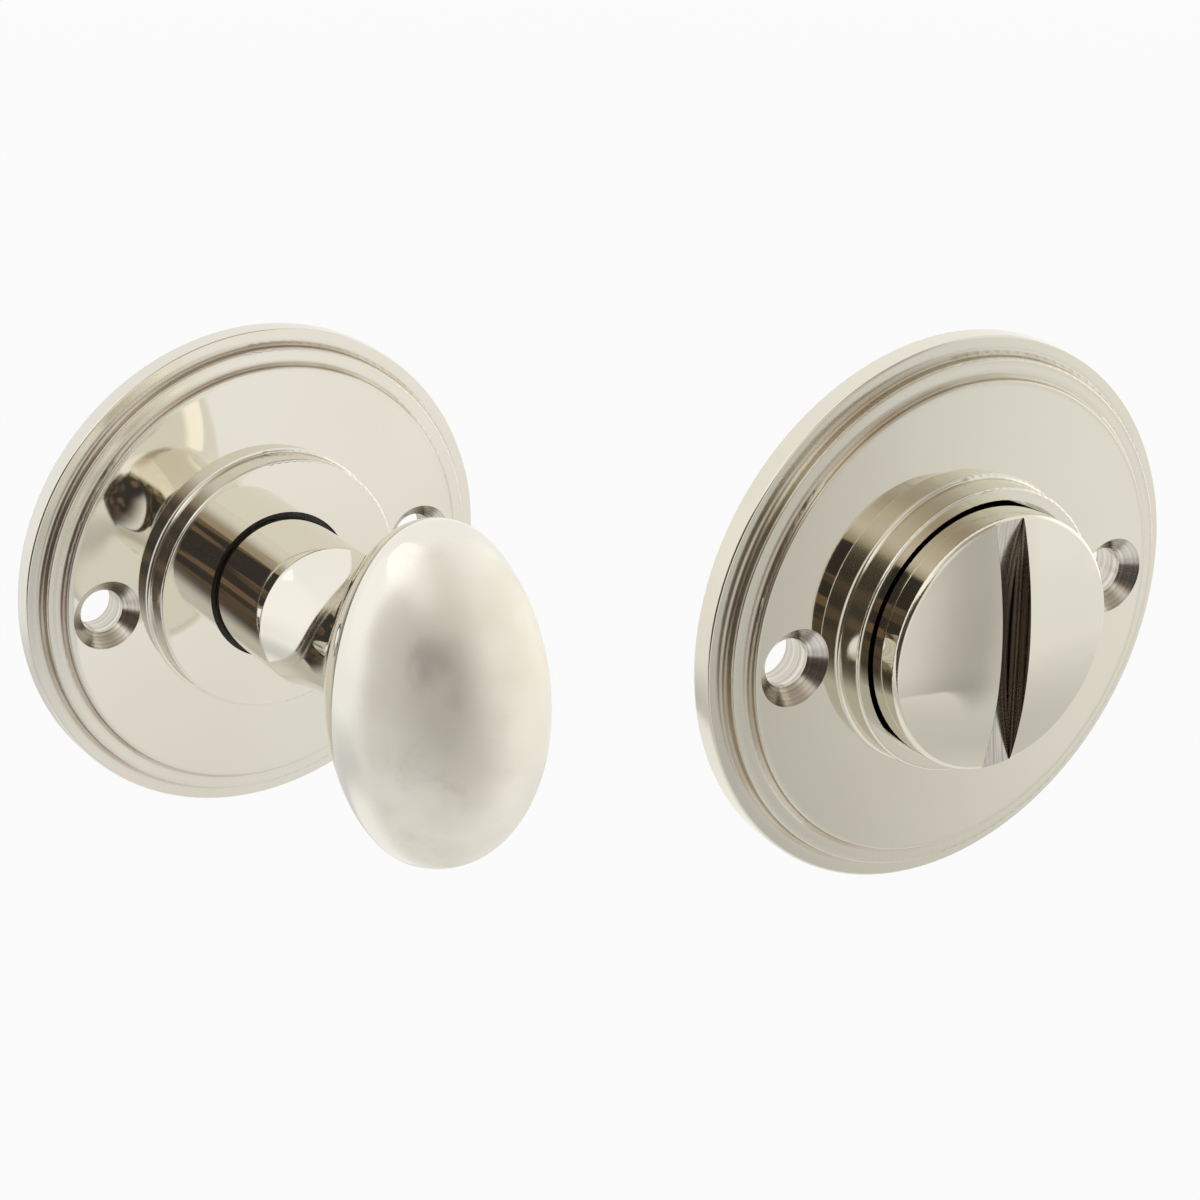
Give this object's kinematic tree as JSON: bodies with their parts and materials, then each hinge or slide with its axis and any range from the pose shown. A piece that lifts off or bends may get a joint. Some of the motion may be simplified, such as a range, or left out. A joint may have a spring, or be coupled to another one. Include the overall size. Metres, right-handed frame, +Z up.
{
  "type": "bathroom thumb turn lock",
  "caption": "Bathroom door lock in two halves: an oval thumb turn on a stepped round rose, and a matching rose with a slotted, domed emergency release button, in polished nickel.",
  "frame": {"origin": "centre of the turn rose's back face, on the turn's axis, where it lies against the door", "axes": "+Z up, fronts face -Y, +Y into the door, +X towards the release half"},
  "size_m": [0.082, 0.108, 0.063],
  "materials": {
    "polished_nickel": "polished nickel plate over brass",
    "black_nylon": "moulded nylon",
    "zinc_steel": "bright zinc plate",
    "spring_steel": "blackened spring steel"
  },
  "bodies": {
    "roses": {"turn_rose": "polished_nickel", "turn_bush": "black_nylon", "turn_washer": "zinc_steel", "release_rose": "polished_nickel", "release_bush": "black_nylon", "release_washer": "zinc_steel"},
    "turn": {"oval_turn": "polished_nickel", "turn_spindle": "zinc_steel", "spindle_pin": "spring_steel", "turn_spring_washer": "spring_steel", "turn_circlip": "spring_steel"},
    "release": {"release_button": "polished_nickel", "release_spring_washer": "spring_steel", "release_circlip": "spring_steel"}
  },
  "joints": [
    {"name": "thumb_turn", "type": "hinge", "parent": "roses", "child": "turn", "pos_m": [0, 0, 0], "axis": [0, -1, 0], "range_deg": [-90, 90]},
    {"name": "release_turn", "type": "hinge", "parent": "roses", "child": "release", "pos_m": [0.032, -0.068, 0.013], "axis": [0, -1, 0], "range_deg": [-90, 90]}
  ]
}
